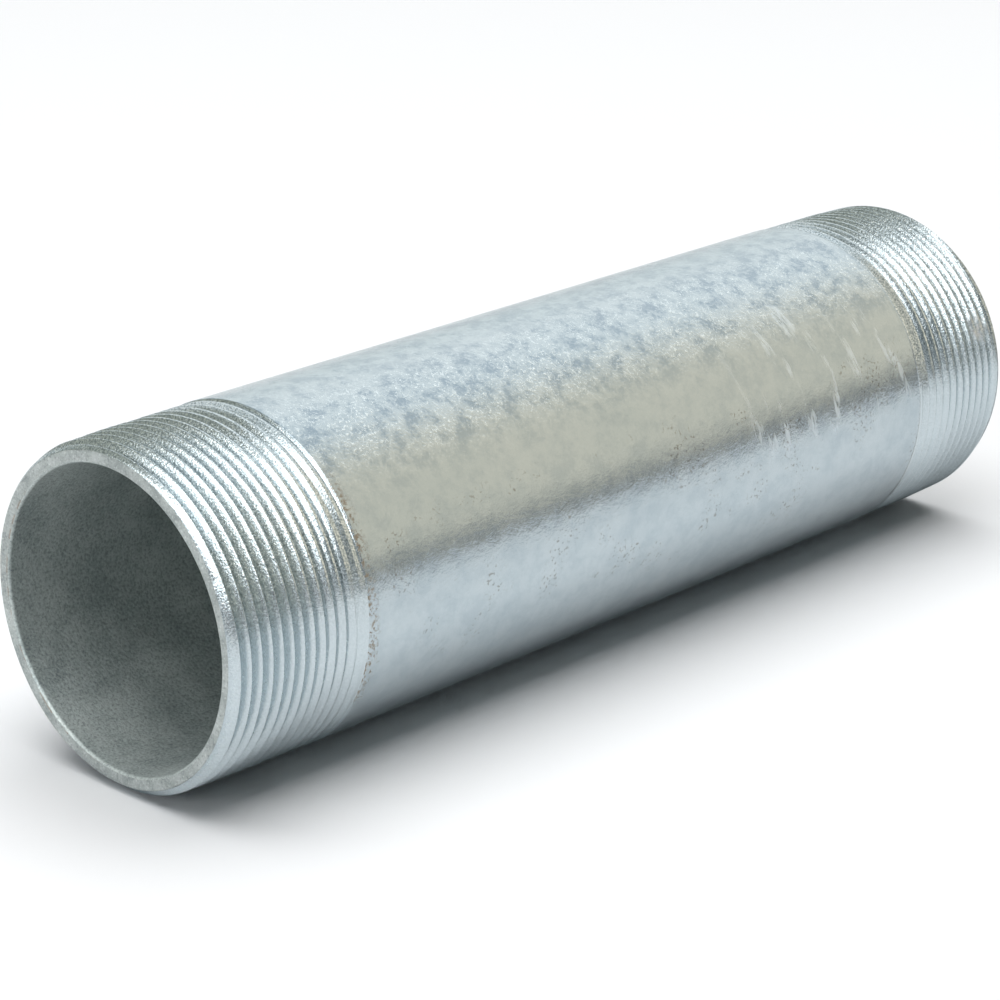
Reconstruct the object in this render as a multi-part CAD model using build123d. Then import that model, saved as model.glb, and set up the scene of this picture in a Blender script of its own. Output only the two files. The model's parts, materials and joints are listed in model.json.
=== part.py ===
"""Threaded pipe nipple: one length of steel pipe with a right-hand taper pipe thread cut on each end.

The pipe lies along X with its middle at the origin, so X is the axis of the bore. The two end faces stand at
plus and minus half the length. Lengths are in millimetres. A depth is a distance from an end face, inwards.
"""

import math
import os

from build123d import *

# Driving dimensions: a 2 inch schedule 40 pipe, 8 inches long, with a taper thread of 11.5 turns to the inch
INCH = 25.4
length = 8 * INCH
outside_diameter = 2.375 * INCH
wall = 0.154 * INCH
threads_per_inch = 11.5
taper = 1 / 16  # growth of the thread's diameter along its length
flank_angle = 30.0  # degrees between a flank and a plane square to the axis
crest_flat_depth = 0.060  # share of the pitch that is cut off the sharp crest
root_flat_depth = 0.050  # share of the pitch that is left in the sharp root
vanish_turns = 3.47  # turns over which the thread runs out into the pipe's outside
chamfer_above_root = 0.50  # how far outside the thread's root the end chamfer stops
chamfer_angle = 45.0  # degrees from the axis
bore_deburr = 0.30  # leg of the small chamfer at each mouth of the bore
crest_relief = 0.14  # how far under the pipe's outside the threading dies leave the last crests
crest_lean = 0.07  # how much lower still they leave the first crests that the taper doesn't reach
near_shoulder_gap = 1.72  # from the end of the near thread to the shoulder that the dies leave at the barrel
far_shoulder_gap = 0.82  # and the same at the far end
near_start_angle = 100.0  # degrees about the axis at which the near end's groove crosses its end face
far_start_angle = 20.0  # and the same at the far end

# How the groove's cutter is made: ruled faces between four edges that follow the helix
parts_per_turn = 2
points_per_part = 19
cutter_clear = 0.10  # how far the cutter stands out of the metal
lead_turns = 1.5  # turns that the cutter makes in the air before it reaches the end face

# Sizes that follow, by the taper pipe thread's formulas
pitch = INCH / threads_per_inch
outer_radius = outside_diameter / 2
bore_radius = outer_radius - wall
radial_taper = taper / 2
flank_slope = math.tan(math.radians(flank_angle))
sharp_height = pitch / (2 * flank_slope)
end_pitch_radius = (outside_diameter - (0.05 * outside_diameter + 1.1 * INCH) / threads_per_inch) / 2
end_crest_radius = end_pitch_radius + sharp_height / 2 - crest_flat_depth * pitch
end_root_radius = end_pitch_radius - sharp_height / 2 + root_flat_depth * pitch
effective_depth = (0.8 * outside_diameter + 6.8 * INCH) / threads_per_inch
effective_root_radius = end_root_radius + radial_taper * effective_depth
runout_rise = (outer_radius - effective_root_radius) / (vanish_turns * pitch)
thread_length = effective_depth + vanish_turns * pitch
near_shoulder_depth = thread_length + near_shoulder_gap
far_shoulder_depth = thread_length + far_shoulder_gap
last_crest_radius = outer_radius - crest_relief
full_crest_radius = last_crest_radius - crest_lean
full_crest_depth = (full_crest_radius - end_crest_radius) / radial_taper
crest_rise = crest_lean / (thread_length - full_crest_depth)
rim_radius = end_root_radius + chamfer_above_root
chamfer_rise = math.tan(math.radians(chamfer_angle))
chamfer_depth = (end_crest_radius - rim_radius) / (chamfer_rise - radial_taper)


def crest_radius(depth):
    """The blank's radius under the thread: the taper's crest cone, then the slight cone up to the shoulder."""
    if depth <= full_crest_depth:
        return end_crest_radius + radial_taper * depth
    return full_crest_radius + crest_rise * (depth - full_crest_depth)


def root_radius(depth):
    """The groove's bottom: the root cone along the effective thread, then the steeper runout cone."""
    if depth <= effective_depth:
        return end_root_radius + radial_taper * depth
    return effective_root_radius + runout_rise * (depth - effective_depth)


def end_outline(shoulder_depth):
    """One end's outline as depths and radii, from the bore round the end face to the plain barrel."""
    foot_depth = shoulder_depth - crest_relief
    return [
        (bore_deburr, bore_radius),
        (0, bore_radius + bore_deburr),
        (0, rim_radius),
        (chamfer_depth, crest_radius(chamfer_depth)),
        (full_crest_depth, full_crest_radius),
        (foot_depth, crest_radius(foot_depth)),
        (shoulder_depth, outer_radius),
    ]


def tube_blank():
    """The tube before its grooves are cut: bore, end faces, chamfers, crest cones, shoulders and barrel."""
    near = [(depth - length / 2, radius) for depth, radius in end_outline(near_shoulder_depth)]
    far = [(length / 2 - depth, radius) for depth, radius in reversed(end_outline(far_shoulder_depth))]
    with BuildSketch(Plane.XZ) as section:
        with BuildLine():
            Polyline(*near, *far, close=True)
        make_face()
    return revolve(section.sketch, Axis.X)


def groove_corners(angle):
    """The four corners of the groove's section where the helix, about Z, has turned by an angle."""
    depth = pitch * angle / (2 * math.pi)
    apex_radius = end_pitch_radius + radial_taper * depth - sharp_height / 2
    bottom = root_radius(depth)
    top = crest_radius(depth) + cutter_clear
    corners = []
    for radius, side in ((bottom, -1), (bottom, 1), (top, 1), (top, -1)):
        along = depth + side * flank_slope * (radius - apex_radius)
        corners.append(Vector(radius * math.cos(angle), radius * math.sin(angle), along))
    return corners


def helix_parts():
    """The helix in equal stretches of part of a turn, with a break where the runout begins."""
    start = -lead_turns * pitch
    end = effective_depth + (last_crest_radius + cutter_clear / 2 - effective_root_radius) / runout_rise
    stretches = []
    for low, high in ((start, effective_depth), (effective_depth, end)):
        count = math.ceil((high - low) / pitch * parts_per_turn)
        breaks = [2 * math.pi * (low + (high - low) * k / count) / pitch for k in range(count + 1)]
        stretches += list(zip(breaks, breaks[1:]))
    return stretches


def groove_cutter():
    """The whole helical groove as one solid along Z, from in front of the end face to its runout."""
    faces = []
    stretches = helix_parts()
    for low, high in stretches:
        step = (high - low) / (points_per_part - 1)
        rings = [groove_corners(low + step * k) for k in range(points_per_part)]
        edges = [Edge.make_spline([ring[corner] for ring in rings]) for corner in range(4)]
        faces += [Face.make_surface_from_curves(edges[k], edges[(k + 1) % 4]) for k in range(4)]
    for angle in (stretches[0][0], stretches[-1][1]):
        faces.append(Face(Wire.make_polygon(groove_corners(angle), close=True)))
    return Solid(Shell(faces))


def pipe_nipple():
    """The tube with both threads cut. Each cutter is turned into place, so both threads are right-hand."""
    cutter = groove_cutter()
    near = Plane(origin=(-length / 2, 0, 0), x_dir=(0, 0, 1), z_dir=(1, 0, 0)).location
    far = Plane(origin=(length / 2, 0, 0), x_dir=(0, 0, 1), z_dir=(-1, 0, 0)).location
    cutters = [near * Rot(0, 0, near_start_angle) * cutter, far * Rot(0, 0, far_start_angle) * cutter]
    return tube_blank() - cutters


os.makedirs("parts", exist_ok=True)
export_step(pipe_nipple(), "parts/pipe_nipple.step")
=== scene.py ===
"""Looks of a galvanised steel pipe nipple: a length of pipe with a right-hand taper thread cut on each end.

One closed skin stands for the pipe. Geometry Nodes work it out from the pipe's sizes. Each end is a sleeve
whose rows follow the thread's helix, half of the plain barrel, a flat end ring and half of the bore.
Lengths are in metres.
"""

import json
import math

import bpy
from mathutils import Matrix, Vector


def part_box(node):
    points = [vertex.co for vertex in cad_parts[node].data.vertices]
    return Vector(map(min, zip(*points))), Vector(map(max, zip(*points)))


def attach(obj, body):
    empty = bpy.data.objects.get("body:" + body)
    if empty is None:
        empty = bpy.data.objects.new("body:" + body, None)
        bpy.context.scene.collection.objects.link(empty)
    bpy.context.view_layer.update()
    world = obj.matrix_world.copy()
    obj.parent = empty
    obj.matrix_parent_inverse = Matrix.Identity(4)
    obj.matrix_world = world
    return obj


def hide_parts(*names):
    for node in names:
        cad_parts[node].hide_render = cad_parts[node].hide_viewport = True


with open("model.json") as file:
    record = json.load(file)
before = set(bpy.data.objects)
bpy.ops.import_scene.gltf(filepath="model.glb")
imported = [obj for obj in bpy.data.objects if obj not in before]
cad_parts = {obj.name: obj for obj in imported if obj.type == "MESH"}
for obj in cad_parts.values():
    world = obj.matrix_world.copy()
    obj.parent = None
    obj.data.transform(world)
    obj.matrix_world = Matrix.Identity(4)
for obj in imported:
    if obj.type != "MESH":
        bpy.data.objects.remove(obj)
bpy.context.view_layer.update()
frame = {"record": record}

MM = 0.001
INCH = 25.4 * MM
NODE = "pipe_nipple"

# ---------------------------------------------------------------- sizes of the pipe and its thread

pipe_low, pipe_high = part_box(NODE)
mounts = {mount["name"]: mount for mount in frame["record"]["mounts"]}
half_length = (pipe_high.x - pipe_low.x) / 2
outside_radius = (pipe_high.z - pipe_low.z) / 2
bore_radius = mounts["bore"]["dims"]["r_mm"] * MM
bore_deburr = half_length - mounts["bore"]["dims"]["length_mm"] * MM / 2
barrel_half = mounts["barrel"]["dims"]["length_mm"] * MM / 2
barrel_middle = mounts["barrel"]["pos_m"][0]

threads_per_inch = 11.5
taper = 1 / 16  # growth of the thread's diameter along its length
flank_angle = 30  # degrees between a flank and a plane square to the axis
crest_flat_depth = 0.060  # share of the pitch that is cut off the sharp crest
root_flat_depth = 0.050  # share of the pitch that is left in the sharp root
vanish_turns = 3.47  # turns over which the standard thread runs out into the pipe's outside
chamfer_above_root = 0.50 * MM
crest_relief = 0.14 * MM  # how far under the pipe's outside the threading dies leave the last crests
crest_lean = 0.07 * MM  # how much lower still they leave the first crests that the taper doesn't reach
runout_length = 6.5 * MM
groove_overrun = 1.4 * MM  # how far past the shoulder the groove would reach, if the shoulder didn't stop it

# Sizes that follow, by the taper pipe thread's formulas
pitch = INCH / threads_per_inch
radial_taper = taper / 2
flank_slope = math.tan(math.radians(flank_angle))
sharp_height = pitch / (2 * flank_slope)
end_pitch_radius = outside_radius - (0.05 * outside_radius + 0.55 * INCH) / threads_per_inch
root_radius = end_pitch_radius - sharp_height / 2 + root_flat_depth * pitch
crest_radius = end_pitch_radius + sharp_height / 2 - crest_flat_depth * pitch
effective_depth = (1.6 * outside_radius + 6.8 * INCH) / threads_per_inch
thread_length = effective_depth + vanish_turns * pitch
full_crest_radius = outside_radius - crest_relief - crest_lean
crest_rise = crest_lean / (thread_length - (full_crest_radius - crest_radius) / radial_taper)
rim_radius = root_radius + chamfer_above_root
last_crest_radius = outside_radius - crest_relief
near_shoulder_depth = half_length - barrel_half + barrel_middle
far_shoulder_depth = half_length - barrel_half - barrel_middle

SEGMENTS = 216  # round the pipe
ROWS_PER_TURN = 14  # seven from a root to the next crest, and seven back
SLEEVE_TURNS = 16  # enough to reach past the runout wherever the groove starts
LEAD_TURNS = 2.0  # how many of them lie before the end face, where they close up on its edge
FLANK_SHARE = 0.56  # how much of a half turn the middle row of its seven spans, on the flat of the flank
BORE_ROWS = 18
BARREL_ROWS = 10
RING_ROWS = 5
EDGE_SHARE = 0.004  # share of a plain stretch between its edge and its first row, which keeps the edge crisp
EVEN_EDGE = 0.5 * MM  # last stretch before the shoulder, where wear and roughness die away
GROOVE_STOP = 0.2 * MM  # last stretch before the shoulder, where the groove is filled up
FULL_DROSS = 0.1 * MM  # height from which dross has its full colour
WELD = 0.002 * MM


def runout(groove_end):
    """Where the full thread stops and how steeply its root then rises, for a groove that ends at a depth."""
    full_depth = groove_end - runout_length
    rise = last_crest_radius - root_radius - radial_taper * full_depth
    return {"Effective Depth": full_depth, "Runout Rise": rise / runout_length}


# The sizes of an end. Where the far end has its own, further down, these are the near end's
END_SIZES = {
    "Half Length": half_length,
    "Outside Radius": outside_radius,
    "Crest Relief": crest_relief,
    "Crest Rise": crest_rise,
    "Thread Length": thread_length,
    "Shoulder Depth": near_shoulder_depth,
    "Bore Radius": bore_radius,
    "Bore Deburr": bore_deburr,
    "Rim Radius": rim_radius,
    "Pitch": pitch,
    "Radial Taper": radial_taper,
    "Flank Slope": flank_slope,
    "Crest Radius": crest_radius,
    "Root Radius": root_radius,
    "Apex Radius": end_pitch_radius - sharp_height / 2,
    **runout(near_shoulder_depth + groove_overrun),
    "Crest Rounding": 0.12 * MM,
    "Root Filling": 0.18 * MM,
    "Crest Wear": 0.08 * MM,
    "Skin Roughness": 0.02 * MM,
    "Start Turn": 100 / 360,
    "Seed": 1.0,
    "Dross Height": 0.0,
    "Dross Depth": 5.6 * MM,
    "Dross Turn": 0.0,
    "Dross Size": 3.4 * MM,
}
FAR_END = {
    **runout(far_shoulder_depth + groove_overrun),
    "Shoulder Depth": far_shoulder_depth,
    "Start Turn": 20 / 360,
    "Seed": 7.0,
    "Dross Height": 0.55 * MM,
    "Dross Turn": -67 / 360,  # this end is turned half round, so its own angles run the other way
}


# ---------------------------------------------------------------- writing node trees as formulas


class Term:
    """A value inside a node tree. Arithmetic on it adds Math nodes, so that a rule reads as a formula."""

    def __init__(self, tree, socket):
        self.tree = tree
        self.socket = socket

    def math(self, operation, *others):
        inputs = dict(enumerate((self, *others)))
        return out(add(self.tree, "ShaderNodeMath", inputs, operation=operation), 0)

    def vector(self, operation, *others, output=0):
        inputs = dict(enumerate((self, *others)))
        return out(add(self.tree, "ShaderNodeVectorMath", inputs, operation=operation), output)

    def __add__(self, other):
        return self.math("ADD", other)

    def __radd__(self, other):
        return self.math("ADD", other)

    def __sub__(self, other):
        return self.math("SUBTRACT", other)

    def __rsub__(self, other):
        return self.math("MULTIPLY_ADD", -1.0, other)

    def __mul__(self, other):
        return self.math("MULTIPLY", other)

    def __rmul__(self, other):
        return self.math("MULTIPLY", other)

    def __truediv__(self, other):
        return self.math("DIVIDE", other)

    def least(self, other, rounding=None):
        if rounding is None:
            return self.math("MINIMUM", other)
        return self.math("SMOOTH_MIN", other, rounding)

    def most(self, other, rounding=None):
        if rounding is None:
            return self.math("MAXIMUM", other)
        return self.math("SMOOTH_MAX", other, rounding)

    def between(self, low, high):
        return self.most(low).least(high)

    def fade(self, low, high):
        """A smooth change from 0 to 1 as the value goes from low to high."""
        inputs = {0: self, 1: low, 2: high, 3: 0.0, 4: 1.0}
        return out(add(self.tree, "ShaderNodeMapRange", inputs, interpolation_type="SMOOTHSTEP"), 0)


def add(tree, kind, inputs=None, **settings):
    """Adds a node, sets its options, and joins or sets its inputs by name or number."""
    made = tree.nodes.new(kind)
    for name, value in settings.items():
        setattr(made, name, value)
    for key, value in (inputs or {}).items():
        if isinstance(value, Term):
            tree.links.new(value.socket, made.inputs[key])
        elif value is not None:
            made.inputs[key].default_value = value
    return made


def out(node, key=0):
    return Term(node.id_data, node.outputs[key])


def combine(tree, x, y, z):
    return out(add(tree, "ShaderNodeCombineXYZ", {0: x, 1: y, 2: z}))


def noise(tree, place, scale, detail, roughness, seed=None):
    """Soft noise from 0 to 1 at a place, with scale in bumps to the metre. A seed shifts it."""
    values = {"Vector": place, "Scale": scale, "Detail": detail, "Roughness": roughness}
    if seed is None:
        return out(add(tree, "ShaderNodeTexNoise", values), "Fac")
    values["W"] = seed
    return out(add(tree, "ShaderNodeTexNoise", values, noise_dimensions="4D"), "Fac")


# ---------------------------------------------------------------- the pipe's shape


def open_tree(name, sizes, materials=()):
    """A new Geometry Nodes tree with a named float input for each size, and those inputs as Terms."""
    tree = bpy.data.node_groups.new(name, "GeometryNodeTree")
    for size, value in sizes.items():
        socket = tree.interface.new_socket(name=size, in_out="INPUT", socket_type="NodeSocketFloat")
        socket.default_value = value
    for material in materials:
        tree.interface.new_socket(name=material, in_out="INPUT", socket_type="NodeSocketMaterial")
    tree.interface.new_socket(name="Geometry", in_out="OUTPUT", socket_type="NodeSocketGeometry")
    given = tree.nodes.new("NodeGroupInput")
    return tree, {socket.name: Term(tree, socket) for socket in given.outputs if socket.name}


def close_tree(tree, geometry):
    add(tree, "NodeGroupOutput", {"Geometry": geometry})


def skin_place(tree, depth, turn, radius):
    """The point at a depth from the end face, a turn from the top towards -Y, and a radius from the axis."""
    angle = turn * (2 * math.pi)
    return combine(tree, depth, radius * angle.math("SINE") * -1.0, radius * angle.math("COSINE"))


def leaning_crest(size, depth):
    """The slight cone that the dies leave the last crests on."""
    lean = (depth - size["Thread Length"]) * size["Crest Rise"]
    return size["Outside Radius"] - size["Crest Relief"] + lean


def thread_radius(tree, size, depth, turn):
    """The threaded outside's radius, how deep it lies from 0 on the crest to 1, and the share of dross."""
    steady = skin_place(tree, depth, turn, size["Outside Radius"])
    helix = (turn - size["Start Turn"]) * size["Pitch"]
    beside = (depth - helix).math("WRAP", size["Pitch"] * 0.5, size["Pitch"] * -0.5)
    centre = depth - beside
    sleeve_end = size["Shoulder Depth"] - size["Crest Relief"]
    uneven = depth.fade(sleeve_end, sleeve_end - EVEN_EDGE)
    worn_share = noise(tree, steady, 170.0, 3.0, 0.6, size["Seed"]).fade(0.45, 0.8)
    wear = worn_share * size["Crest Wear"] * uneven
    grain = (noise(tree, steady, 900.0, 2.0, 0.6, size["Seed"]) - 0.5) * size["Skin Roughness"] * uneven * 2.0
    crest = (size["Crest Radius"] + depth * size["Radial Taper"]).least(leaning_crest(size, depth))
    effective_root = size["Root Radius"] + size["Effective Depth"] * size["Radial Taper"]
    root = (size["Root Radius"] + centre * size["Radial Taper"]).most(
        effective_root + (centre - size["Effective Depth"]) * size["Runout Rise"]
    )
    apex = size["Apex Radius"] + centre * size["Radial Taper"]
    flank = apex + beside.math("ABSOLUTE") / size["Flank Slope"]
    stopped = depth.fade(sleeve_end - GROOVE_STOP, sleeve_end)
    groove = flank.most(root, size["Root Filling"]) + stopped * MM
    patch = skin_place(tree, size["Dross Depth"], size["Dross Turn"], size["Outside Radius"])
    away = steady.vector("DISTANCE", patch, output="Value")
    ragged = away + noise(tree, steady, 420.0, 3.0, 0.7, size["Seed"]) * size["Dross Size"] * 1.5
    dross = ragged.fade(size["Dross Size"] * 2.0, size["Dross Size"] * 0.9)
    dross = dross * (size["Dross Height"] / FULL_DROSS).least(1.0)
    lumps = noise(tree, steady, 650.0, 2.0, 0.5, size["Seed"]).fade(0.25, 0.75)
    groove = groove + dross * lumps * size["Dross Height"] * 1.6
    worn = groove.least(crest - wear, size["Crest Rounding"] * uneven) + grain
    radius = worn.least(size["Rim Radius"] + depth, size["Crest Rounding"])
    depth_share = ((crest - radius) / (size["Crest Radius"] - size["Root Radius"])).between(0.0, 1.0)
    return radius, depth_share, dross


def skin_grid(tree, rows, zone, shape):
    """One grid bent round the axis. shape gives depth, radius, groove and dross for a row and a turn."""
    grid = add(tree, "GeometryNodeMeshGrid", {"Vertices X": SEGMENTS + 1, "Vertices Y": rows + 1})
    flat = add(tree, "ShaderNodeSeparateXYZ", {0: out(add(tree, "GeometryNodeInputPosition"))})
    turn = out(flat, "X") + 0.5
    row = ((out(flat, "Y") + 0.5) * float(rows)).math("ROUND")
    depth, radius, share, dross = shape(row, turn)
    stored = out(grid, "Mesh")
    around = combine(tree, depth, turn * (2 * math.pi * outside_radius), 0.0)
    facts = (("skin", "FLOAT2", "CORNER", around), ("groove", "FLOAT", "POINT", share),
             ("dross", "FLOAT", "POINT", dross), ("zone", "INT", "FACE", zone))
    for name, kind, domain, value in facts:
        inputs = {"Geometry": stored, "Name": name, "Value": value}
        stored = out(add(tree, "GeometryNodeStoreNamedAttribute", inputs, data_type=kind, domain=domain))
    place = skin_place(tree, depth, turn, radius)
    return out(add(tree, "GeometryNodeSetPosition", {"Geometry": stored, "Position": place}))


def plain_share(row, rows):
    """How far along a plain stretch a row is. Two rows shape the edge before it; the next stands close by."""
    beside_edge = (row - 2.0).between(0.0, 1.0) * EDGE_SHARE
    return beside_edge + (row - 3.0).between(0.0, rows) * ((1 - EDGE_SHARE) / (rows - 3))


THREAD, BARREL, RING, BORE = 0, 1, 2, 3  # zones of the skin, in the order of their finishes


def pipe_end_tree():
    """Half a pipe: an end face at X = 0, its thread, and the barrel and bore as far as the middle."""
    tree, size = open_tree("threaded_pipe_end", END_SIZES)
    sleeve_end = size["Shoulder Depth"] - size["Crest Relief"]

    def sleeve(row, turn):
        rows = ROWS_PER_TURN / 2.0
        halves = row / rows
        part = halves.math("FRACT")
        even = rows / (rows - 1.0) * (1.0 - FLANK_SHARE)
        flank = FLANK_SHARE - (1.0 - FLANK_SHARE) / (rows - 1.0)
        crowded = part * even + part.fade((rows - 1.0) / 2.0 / rows, (rows + 1.0) / 2.0 / rows) * flank
        turns = (halves.math("FLOOR") + crowded) * 0.5 - LEAD_TURNS + turn - size["Start Turn"]
        depth = (turns * size["Pitch"]).between(0.0, sleeve_end)
        return (depth, *thread_radius(tree, size, depth, turn))

    def barrel(row, turn):
        ramp = (row / 2.0).between(0.0, 1.0)
        plain = plain_share(row, BARREL_ROWS)
        plain_length = size["Half Length"] - size["Shoulder Depth"]
        depth = sleeve_end + ramp * size["Crest Relief"] + plain * plain_length
        foot = leaning_crest(size, sleeve_end)
        return depth, foot + (size["Outside Radius"] - foot) * ramp, 0.0, 0.0

    def ring(row, turn):
        depth = turn * 0.0
        outer = thread_radius(tree, size, depth, turn)[0]
        inner = size["Bore Radius"] + size["Bore Deburr"]
        return depth, inner + (outer - inner) * (row / float(RING_ROWS)).fade(0.0, 1.0), 0.0, 0.0

    def bore(row, turn):
        inward = float(BORE_ROWS) - row
        edge = (inward / 2.0).between(0.0, 1.0)
        along = plain_share(inward, BORE_ROWS)
        depth = edge * size["Bore Deburr"] + along * (size["Half Length"] - size["Bore Deburr"])
        return depth, size["Bore Radius"] + (1.0 - edge) * size["Bore Deburr"], 0.0, 0.0

    skins = [
        skin_grid(tree, SLEEVE_TURNS * ROWS_PER_TURN, THREAD, sleeve),
        skin_grid(tree, BARREL_ROWS, BARREL, barrel),
        skin_grid(tree, RING_ROWS, RING, ring),
        skin_grid(tree, BORE_ROWS, BORE, bore),
    ]
    joined = tree.nodes.new("GeometryNodeJoinGeometry")
    for skin in skins:
        tree.links.new(skin.socket, joined.inputs[0])
    close_tree(tree, out(joined))
    return tree


def pipe_tree(end_tree, materials):
    """The whole pipe: two ends back to back, welded where their edges meet."""
    tree, size = open_tree("threaded_pipe", END_SIZES, materials)
    joined = tree.nodes.new("GeometryNodeJoinGeometry")
    for own_sizes, turned, side in (({}, 0.0, -1.0), (FAR_END, math.pi, 1.0)):
        end = add(tree, "GeometryNodeGroup", node_tree=end_tree)
        for name in END_SIZES:
            if name in own_sizes:
                end.inputs[name].default_value = own_sizes[name]
            else:
                tree.links.new(size[name].socket, end.inputs[name])
        inputs = {
            "Geometry": out(end),
            "Translation": combine(tree, size["Half Length"] * side, 0.0, 0.0),
            "Rotation": (0.0, 0.0, turned),
        }
        moved = add(tree, "GeometryNodeTransform", inputs)
        tree.links.new(moved.outputs[0], joined.inputs[0])
    welded = out(add(tree, "GeometryNodeMergeByDistance", {"Geometry": out(joined), "Distance": WELD}))
    smooth = out(add(tree, "GeometryNodeSetShadeSmooth", {"Geometry": welded, "Shade Smooth": True}))
    finished = out(add(tree, "GeometryNodeRealizeInstances", {"Geometry": smooth}))
    zone_read = out(add(tree, "GeometryNodeInputNamedAttribute", {"Name": "zone"}, data_type="INT"))
    for zone, material in enumerate(materials):
        here = add(tree, "FunctionNodeCompare", {2: zone_read, 3: zone}, data_type="INT", operation="EQUAL")
        inputs = {"Geometry": finished, "Selection": out(here) if zone else None, "Material": size[material]}
        finished = out(add(tree, "GeometryNodeSetMaterial", inputs))
    close_tree(tree, finished)
    return tree


def make_pipe(materials):
    """Runs the tree once and keeps its result as a plain mesh."""
    tree = pipe_tree(pipe_end_tree(), materials)
    maker = bpy.data.objects.new("pipe_maker", bpy.data.meshes.new("pipe_maker"))
    bpy.context.collection.objects.link(maker)
    modifier = maker.modifiers.new("threaded_pipe", "NODES")
    modifier.node_group = tree
    for socket in tree.interface.items_tree:
        if socket.in_out == "INPUT":
            modifier[socket.identifier] = materials.get(socket.name, END_SIZES.get(socket.name))
    shaped = maker.evaluated_get(bpy.context.evaluated_depsgraph_get())
    mesh = bpy.data.meshes.new_from_object(shaped)
    bpy.data.objects.remove(maker)
    if mesh.materials[0] is None:
        mesh.materials.pop(index=0)
    mesh.name = "galvanised_pipe"
    pipe = bpy.data.objects.new("galvanised_pipe", mesh)
    bpy.context.collection.objects.link(pipe)
    return pipe


# ---------------------------------------------------------------- finishes


def open_material(name, **settings):
    """A material with one Principled shader. Settings the same all over are set on the shader itself."""
    material = bpy.data.materials.new(name)
    material.use_nodes = True
    tree = material.node_tree
    shader = tree.nodes["Principled BSDF"]
    for key, value in settings.items():
        shader.inputs[key.replace("_", " ")].default_value = value
    return material, tree, shader


def mix_colour(tree, share, low, high):
    """The colour low where share is 0, and high where it is 1."""
    node = add(tree, "ShaderNodeMix", data_type="RGBA")
    for index, value in ((0, share), (6, low), (7, high)):
        if isinstance(value, Term):
            tree.links.new(value.socket, node.inputs[index])
        else:
            node.inputs[index].default_value = value if index == 0 else (*value, 1.0)
    return out(node, 2)


def bump(tree, height, distance, below=None):
    """A bumped normal. distance is how far, in metres, a height of 1 stands up."""
    inputs = {"Height": height, "Distance": distance, "Strength": 1.0, "Normal": below}
    return out(add(tree, "ShaderNodeBump", inputs))


def object_place(tree):
    return out(add(tree, "ShaderNodeTexCoord"), "Object")


def skin_map(tree, place):
    """How far a point is along the pipe from its near end, and its degrees from the top towards -Y."""
    split = add(tree, "ShaderNodeSeparateXYZ", {0: place})
    degrees = (out(split, "Y") * -1.0).math("ARCTAN2", out(split, "Z")) * (180 / math.pi)
    return out(split, "X") + half_length, degrees


def band(value, low, high, soft):
    """1 between low and high, with soft edges outside them."""
    return value.fade(low - soft, low) * value.fade(high + soft, high)


def link(tree, value, shader, name):
    tree.links.new(value.socket, shader.inputs[name])


def strokes(tree, flat, turn, scale, low, high):
    """Short thin marks that lie one way on the flattened skin, turned from the pipe's axis."""
    turned = out(add(tree, "ShaderNodeVectorRotate", {"Vector": flat, "Angle": turn}, rotation_type="Z_AXIS"))
    return noise(tree, turned.vector("MULTIPLY", (1.0, 0.22, 1.0)), scale, 2.0, 0.6).fade(low, high)


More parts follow.
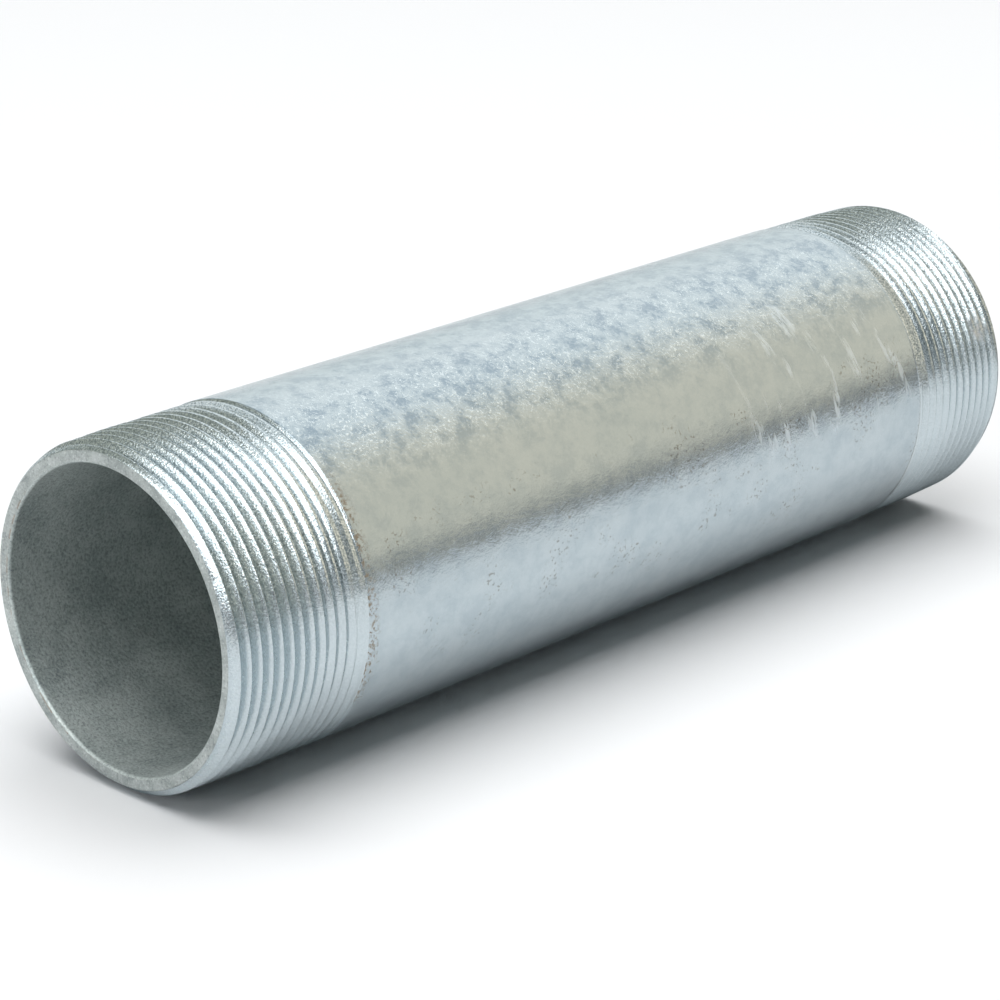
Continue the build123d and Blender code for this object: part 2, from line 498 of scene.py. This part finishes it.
def barrel_zinc():
    """The plain barrel: smooth zinc with mottle, specks, scuffs, dirt and a little rust; across its top,
    painted highlights and painted glints.
    """
    material, tree, shader = open_material("barrel_zinc", Metallic=1.0)
    place = object_place(tree)
    along, degrees = skin_map(tree, place)
    wrapped = combine(tree, along, degrees * (math.pi / 180 * outside_radius), 0.0)
    cloud = noise(tree, place, 45.0, 4.0, 0.6)
    mottle = noise(tree, place, 260.0, 6.0, 0.72)
    grain = noise(tree, place, 1900.0, 3.0, 0.7)
    # The top of the pipe, where the bright overhead light is reflected; the mottle and specks below are
    # painted lighter and darker there.
    top = band(degrees, -60.0, 34.0, 24.0)
    colour = mix_colour(tree, cloud.fade(0.3, 0.7), (0.43, 0.50, 0.535), (0.475, 0.540, 0.570))
    # Painted highlight: light mottle, laid on more thickly across the top.
    colour = mix_colour(tree, mottle.fade(0.46, 0.60) * (0.14 + top * 0.22), colour, (0.66, 0.72, 0.73))
    # Painted glints: a band near the top where the bright softbox is reflected, given extra dark mottle and
    # many light specks.
    painted_glint_band = band(degrees, 18.0, 36.0, 14.0)
    # Dark mottle: a little all over, and stronger across the top and in the glint band, where it is painted
    # reflection contrast.
    dark = mottle.fade(0.50, 0.38) * (0.16 + top * 0.24 + painted_glint_band * 0.30)
    colour = mix_colour(tree, dark, colour, (0.26, 0.33, 0.39))
    patches = noise(tree, place, 130.0, 3.0, 0.7).fade(0.38, 0.58)
    needles = sum(strokes(tree, wrapped, turn, 2100.0, 0.59, 0.70) for turn in (0.5, -0.6)) * 0.6
    glitter = (needles + grain.fade(0.54, 0.66)).least(1.0)
    # Near-white specks: the few all over are real; the many more across the top and in the glint band are
    # painted glints.
    flecks_and_painted_glints = glitter * (0.05 + top * 0.25 + painted_glint_band * patches * 0.70)
    colour = mix_colour(tree, flecks_and_painted_glints * 0.85, colour, (0.88, 0.95, 0.97))
    streaks = strokes(tree, wrapped, 0.10, 290.0, 0.56, 0.66)
    streaks = streaks * strokes(tree, wrapped, 0.14, 1300.0, 0.36, 0.60)
    scuffed = band(along, 0.132, 0.168, 0.010) * band(degrees, 24.0, 78.0, 12.0)
    scuffs = streaks * scuffed
    colour = mix_colour(tree, scuffs * 0.50, colour, (0.84, 0.93, 1.0))
    dirty = noise(tree, place, 95.0, 2.0, 0.6).fade(0.52, 0.60) * band(degrees, 66.0, 108.0, 8.0)
    dirt = noise(tree, place, 1500.0, 2.0, 0.6).fade(0.585, 0.65) * dirty
    colour = mix_colour(tree, dirt * 0.6, colour, (0.20, 0.19, 0.16))
    by_shoulder = band(along, 0.0286, 0.0290, 0.0022) * band(degrees, 50.0, 112.0, 14.0)
    rust = by_shoulder * noise(tree, place, 1500.0, 3.0, 0.7).fade(0.47, 0.62)
    colour = mix_colour(tree, rust * 0.8, colour, (0.25, 0.19, 0.12))
    link(tree, colour, shader, "Base Color")
    rough = 0.14 + cloud * 0.06 + mottle * 0.06 + flecks_and_painted_glints * 0.20 + scuffs * 0.25 + rust * 0.4
    link(tree, rough, shader, "Roughness")
    normal = bump(tree, grain, 0.030 * MM)
    normal = bump(tree, mottle, 0.12 * MM, below=normal)
    normal = bump(tree, flecks_and_painted_glints + scuffs, 0.012 * MM, below=normal)
    link(tree, normal, shader, "Normal")
    return material


def thread_zinc():
    """The threads: a thicker, granular zinc coat, with painted glints, and painted shade down in the grooves.
    """
    material, tree, shader = open_material("thread_zinc", Metallic=1.0)
    place = object_place(tree)
    along, degrees = skin_map(tree, place)
    groove = out(add(tree, "ShaderNodeAttribute", attribute_name="groove"), "Fac")
    dross = out(add(tree, "ShaderNodeAttribute", attribute_name="dross"), "Fac")
    grain = noise(tree, place, 2600.0, 2.0, 0.65)
    coarse = noise(tree, place, 900.0, 3.0, 0.65)
    flakes = noise(tree, place, 3300.0, 1.0, 0.5, 4.0)
    # 1 from 64 degrees up over the top, 0 past 92 degrees on the lower front and bottom. On the upper side
    # the bumps are stronger, and so are the painted groove shade, painted glints and painted dark specks.
    rough_and_painted_light_side = degrees.fade(92.0, 64.0)
    # Painted shade: the grooves are coloured darker, more so on the upper side.
    dull = groove.fade(0.45, 1.0) * (0.4 + rough_and_painted_light_side * 0.6)
    colour = mix_colour(tree, dull, (0.53, 0.60, 0.63), (0.42, 0.49, 0.53))
    # Painted glints: near-white specks, thicker on the upper side, where the softbox is reflected.
    painted_glint_flakes = flakes.fade(0.50, 0.66) * (0.10 + rough_and_painted_light_side * 0.40)
    colour = mix_colour(tree, painted_glint_flakes, colour, (0.94, 0.97, 0.95))
    # Dark specks: the few all over are real; the many more on the upper side are painted reflection contrast.
    dark_flakes_and_painted_shade = flakes.fade(0.50, 0.34) * (0.08 + rough_and_painted_light_side * 0.42)
    colour = mix_colour(tree, dark_flakes_and_painted_shade, colour, (0.12, 0.15, 0.14))
    far_thread = along.fade(half_length, half_length * 1.2)
    fringe = groove.fade(0.5, 0.9) * far_thread * coarse.fade(0.45, 0.7)
    colour = mix_colour(tree, fringe * 0.35, colour, (0.52, 0.36, 0.22))
    colour = mix_colour(tree, dross * coarse.fade(0.35, 0.6) * 0.8, colour, (0.80, 0.78, 0.74))
    link(tree, colour, shader, "Base Color")
    rough = 0.19 + groove * 0.06 + coarse * 0.08 + dross * 0.2
    link(tree, rough, shader, "Roughness")
    normal = bump(tree, grain, (0.010 + rough_and_painted_light_side * 0.060) * MM)
    normal = bump(tree, coarse, (0.006 + rough_and_painted_light_side * 0.012) * MM, below=normal)
    link(tree, normal, shader, "Normal")
    return material


def ring_steel():
    """The faced end: grey under a thin granular coat, with a trace of rust at the mouth of the bore."""
    material, tree, shader = open_material("ring_steel", Metallic=1.0)
    place = object_place(tree)
    degrees = skin_map(tree, place)[1]
    split = add(tree, "ShaderNodeSeparateXYZ", {0: place})
    radius = combine(tree, 0.0, out(split, "Y"), out(split, "Z")).vector("LENGTH", output="Value")
    marks = noise(tree, combine(tree, radius, 0.0, 0.0), 5500.0, 2.0, 0.7)
    grain = noise(tree, place, 2400.0, 2.0, 0.65)
    patch = noise(tree, place, 260.0, 4.0, 0.7)
    colour = mix_colour(tree, patch.fade(0.3, 0.7), (0.30, 0.335, 0.33), (0.50, 0.54, 0.53))
    colour = mix_colour(tree, grain.fade(0.55, 0.70) * 0.5, colour, (0.74, 0.78, 0.76))
    colour = mix_colour(tree, grain.fade(0.45, 0.30) * 0.5, colour, (0.14, 0.16, 0.16))
    inner = radius.fade(bore_radius + bore_deburr * 2.6, bore_radius + bore_deburr)
    rust = inner * band(degrees, -150.0, -60.0, 25.0) * noise(tree, place, 500.0, 3.0, 0.6).fade(0.45, 0.6)
    colour = mix_colour(tree, rust * 0.6, colour, (0.30, 0.20, 0.13))
    link(tree, colour, shader, "Base Color")
    rough = 0.26 + patch * 0.18 + rust * 0.3
    link(tree, rough, shader, "Roughness")
    normal = bump(tree, marks, 0.03 * MM)
    normal = bump(tree, grain, 0.12 * MM, below=normal)
    link(tree, normal, shader, "Normal")
    return material


def bore_zinc():
    """The bore: dull and mottled grey, finely speckled all over."""
    material, tree, shader = open_material("bore_zinc", Metallic=0.5)
    place = object_place(tree)
    mottle = noise(tree, place, 95.0, 5.0, 0.65)
    fine = noise(tree, place, 2200.0, 2.0, 0.65)
    blotch = noise(tree, place, 480.0, 3.0, 0.7)
    colour = mix_colour(tree, mottle.fade(0.3, 0.7), (0.35, 0.40, 0.395), (0.52, 0.57, 0.555))
    colour = mix_colour(tree, fine.fade(0.50, 0.66) * 0.45, colour, (0.62, 0.68, 0.66))
    colour = mix_colour(tree, fine.fade(0.50, 0.34) * 0.45, colour, (0.12, 0.14, 0.15))
    colour = mix_colour(tree, blotch.fade(0.60, 0.72) * 0.3, colour, (0.13, 0.14, 0.14))
    link(tree, colour, shader, "Base Color")
    rough = 0.42 + mottle * 0.2
    link(tree, rough, shader, "Roughness")
    normal = bump(tree, fine, 0.10 * MM)
    normal = bump(tree, mottle, 0.30 * MM, below=normal)
    link(tree, normal, shader, "Normal")
    return material


# ---------------------------------------------------------------- studio

FLOOR_SIZE = 8.0
LENS_ANGLE = 17.72  # degrees across the frame
VIEW_AZIMUTH = -46.465
VIEW_ELEVATION = 20.016
VIEW_DISTANCE = 0.5834
VIEW_TARGET = Vector((-0.00669, 0.00424, -0.00534))
PIPE_MIDDLE = Vector((0, 0, 0))


def make_floor():
    """A plain pale floor under the pipe."""
    mesh = bpy.data.meshes.new("floor")
    half = FLOOR_SIZE / 2
    corners = [(-half, -half), (half, -half), (half, half), (-half, half)]
    mesh.from_pydata([(x, y, pipe_low.z) for x, y in corners], [], [(0, 1, 2, 3)])
    floor = bpy.data.objects.new("floor", mesh)
    bpy.context.collection.objects.link(floor)
    paint = open_material("floor_paint", Base_Color=(0.86, 0.87, 0.88, 1.0), Roughness=0.9)[0]
    mesh.materials.append(paint)


def aim(thing, place, target):
    thing.location = place
    thing.rotation_mode = "QUATERNION"
    thing.rotation_quaternion = (target - place).to_track_quat("-Z", "Y")


def direction(heading, elevation):
    """A unit vector. Heading is in degrees from -X towards +Y, elevation above the horizon."""
    h, e = math.radians(heading), math.radians(elevation)
    return Vector((-math.cos(h) * math.cos(e), math.sin(h) * math.cos(e), math.sin(e)))


def make_card(name, heading, elevation, distance, width, height, radiance, centre=PIPE_MIDDLE, lights=False):
    """A card that reflections see: a softbox where it is bright, a flag where it is dark.

    It stands at a distance from the centre, which it faces. With lights it lights dull skin too.
    """
    mesh = bpy.data.meshes.new(name)
    x, y = width / 2, height / 2
    mesh.from_pydata([(-x, -y, 0), (x, -y, 0), (x, y, 0), (-x, y, 0)], [], [(0, 1, 2, 3)])
    card = bpy.data.objects.new(name, mesh)
    bpy.context.collection.objects.link(card)
    aim(card, centre + direction(heading, elevation) * distance, centre)
    material = bpy.data.materials.new(name)
    material.use_nodes = True
    tree = material.node_tree
    tree.nodes.clear()
    glow = add(tree, "ShaderNodeEmission", {"Color": (0.98, 0.99, 1.0, 1.0), "Strength": radiance})
    add(tree, "ShaderNodeOutputMaterial", {"Surface": out(glow)})
    mesh.materials.append(material)
    for ray in ("visible_camera", "visible_shadow", "visible_transmission"):
        setattr(card, ray, False)
    card.visible_diffuse = lights


def make_top_light(height, size, radiance):
    """The large soft light overhead that lights the floor. Reflections see the room in its place."""
    lamp = bpy.data.lights.new("top_light", "AREA")
    lamp.size = size
    lamp.energy = radiance * math.pi * size * size
    light = bpy.data.objects.new("top_light", lamp)
    bpy.context.collection.objects.link(light)
    light.location = (0, 0, height)
    light.visible_camera = False
    light.visible_glossy = False


def make_world():
    """The room: white behind and above, a warm wall in front on the right, and dark on the left."""
    world = bpy.data.worlds.new("studio")
    bpy.context.scene.world = world
    world.use_nodes = True
    tree = world.node_tree
    tree.nodes.clear()
    split = add(tree, "ShaderNodeSeparateXYZ", {0: out(add(tree, "ShaderNodeTexCoord"), "Generated")})
    x, y, z = (out(split, axis) for axis in "XYZ")
    white = mix_colour(tree, z.fade(0.10, 0.62), (0.88, 0.95, 0.96), (1.20, 1.23, 1.24))
    white = mix_colour(tree, z.fade(0.64, 0.76), white, (1.00, 1.07, 1.11))
    wall = mix_colour(tree, z.fade(-0.02, 0.14), (0.20, 0.22, 0.22), (0.96, 0.88, 0.73))
    right = mix_colour(tree, y.fade(0.20, -0.34), white, wall)
    back = mix_colour(tree, y.fade(0.05, 0.45), (0.20, 0.23, 0.24), (0.36, 0.38, 0.33))
    colour = mix_colour(tree, x.fade(-0.25, 0.35), back, right)
    glow = add(tree, "ShaderNodeBackground", {"Color": colour, "Strength": 1.0})
    add(tree, "ShaderNodeOutputWorld", {"Surface": out(glow)})
    world.cycles_visibility.diffuse = False


def make_camera():
    camera = bpy.data.objects.new("camera", bpy.data.cameras.new("camera"))
    bpy.context.collection.objects.link(camera)
    camera.data.angle = math.radians(LENS_ANGLE)
    camera.data.clip_start, camera.data.clip_end = 0.01, 50.0
    a, e = math.radians(VIEW_AZIMUTH), math.radians(VIEW_ELEVATION)
    back = Vector((math.sin(a) * math.cos(e), -math.cos(a) * math.cos(e), math.sin(e)))
    aim(camera, VIEW_TARGET + back * VIEW_DISTANCE, VIEW_TARGET)
    bpy.context.scene.camera = camera


# ---------------------------------------------------------------- making

finishes = {"Thread Finish": thread_zinc(), "Barrel Finish": barrel_zinc(),
            "Ring Finish": ring_steel(), "Bore Finish": bore_zinc()}
pipe = make_pipe(finishes)
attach(pipe, "root")
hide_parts(NODE)

make_floor()
make_world()
near_end = Vector((pipe_low.x, 0, 0))
make_card("side_softbox", 7, 20, 3.0, 2.5, 0.95, 2.6, lights=True)
make_card("near_softbox", -12, 31, 0.36, 0.42, 0.23, 4.0, near_end)
make_card("over_softbox", -46, 68, 0.38, 0.30, 0.32, 2.9, near_end)
make_card("side_flag", -6, -3, 0.32, 0.40, 0.09, 0.03)
make_card("front_flag", -134, -1, 0.46, 0.80, 0.050, 0.20)
make_top_light(2.0, 2.6, 3.3)
make_camera()
bpy.context.scene.view_settings.view_transform = "Standard"
